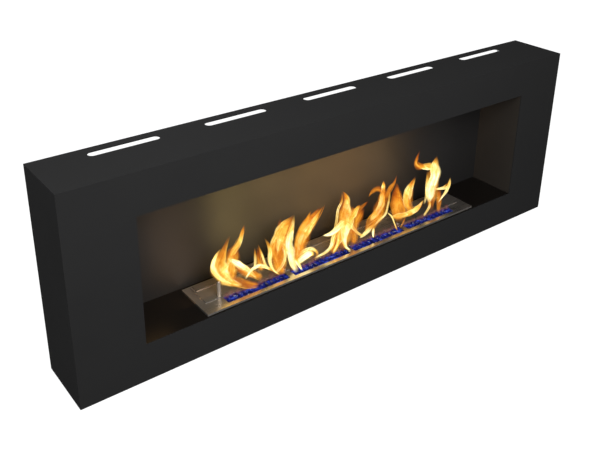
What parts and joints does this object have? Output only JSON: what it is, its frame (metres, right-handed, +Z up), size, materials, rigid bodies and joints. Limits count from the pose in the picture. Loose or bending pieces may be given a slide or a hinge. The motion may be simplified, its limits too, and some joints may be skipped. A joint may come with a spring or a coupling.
{
  "type": "wall fireplace",
  "caption": "Black steel wall fireplace with an open firebox, vents along its top, and a lift-out liquid-fuel burner whose flame ports a sliding shutter closes.",
  "frame": {"origin": "centre of the casing's flat bottom, which is the bottom centre of the whole fireplace's box", "axes": "+X along the casing's width, so -X is the end with the shutter's handle; -Y is the open front and +Y the wall; +Z is up"},
  "size_m": [1.2, 0.13, 0.4],
  "materials": {
    "casing_black": "satin",
    "firebox_black": "satin",
    "back_panel_black": "satin",
    "galvanised": "satin",
    "zinc_plated": "satin",
    "stainless_plain": "satin",
    "stainless_polished": "polished",
    "ceramic_wool": "matte",
    "flame": "gloss"
  },
  "bodies": {
    "casing": {"outer_casing": "casing_black", "weld_studs": "zinc_plated", "stud_nuts": "zinc_plated", "firebox_floor": "firebox_black", "firebox_ceiling": "firebox_black", "firebox_left_wall": "firebox_black", "firebox_right_wall": "firebox_black", "firebox_back_panel": "back_panel_black", "liner_rivets": "zinc_plated", "back_panel_screws": "zinc_plated", "hanger_left": "galvanised", "hanger_right": "galvanised", "hanger_rivets": "zinc_plated", "spill_tray": "stainless_plain"},
    "burner": {"burner_plate": "stainless_polished", "burner_tank": "stainless_plain", "tank_baffle_left": "stainless_plain", "tank_baffle_middle": "stainless_plain", "tank_baffle_right": "stainless_plain", "wool_pad_1": "ceramic_wool", "wool_pad_2": "ceramic_wool", "wool_pad_3": "ceramic_wool", "wool_pad_4": "ceramic_wool", "wool_mesh": "stainless_plain", "guide_screw_left": "stainless_plain", "guide_screw_right": "stainless_plain", "guide_nuts": "stainless_plain"},
    "shutter": {"shutter": "stainless_polished", "shutter_bar": "stainless_polished", "shutter_handle": "stainless_polished"}
  },
  "joints": [
    {"name": "burner_lift", "type": "slide", "parent": "casing", "child": "burner", "axis": [0, 0, 1], "range_m": [0, 0.08]},
    {"name": "shutter_slide", "type": "slide", "parent": "burner", "child": "shutter", "axis": [0, -1, 0], "range_m": [0, 0.026]}
  ]
}
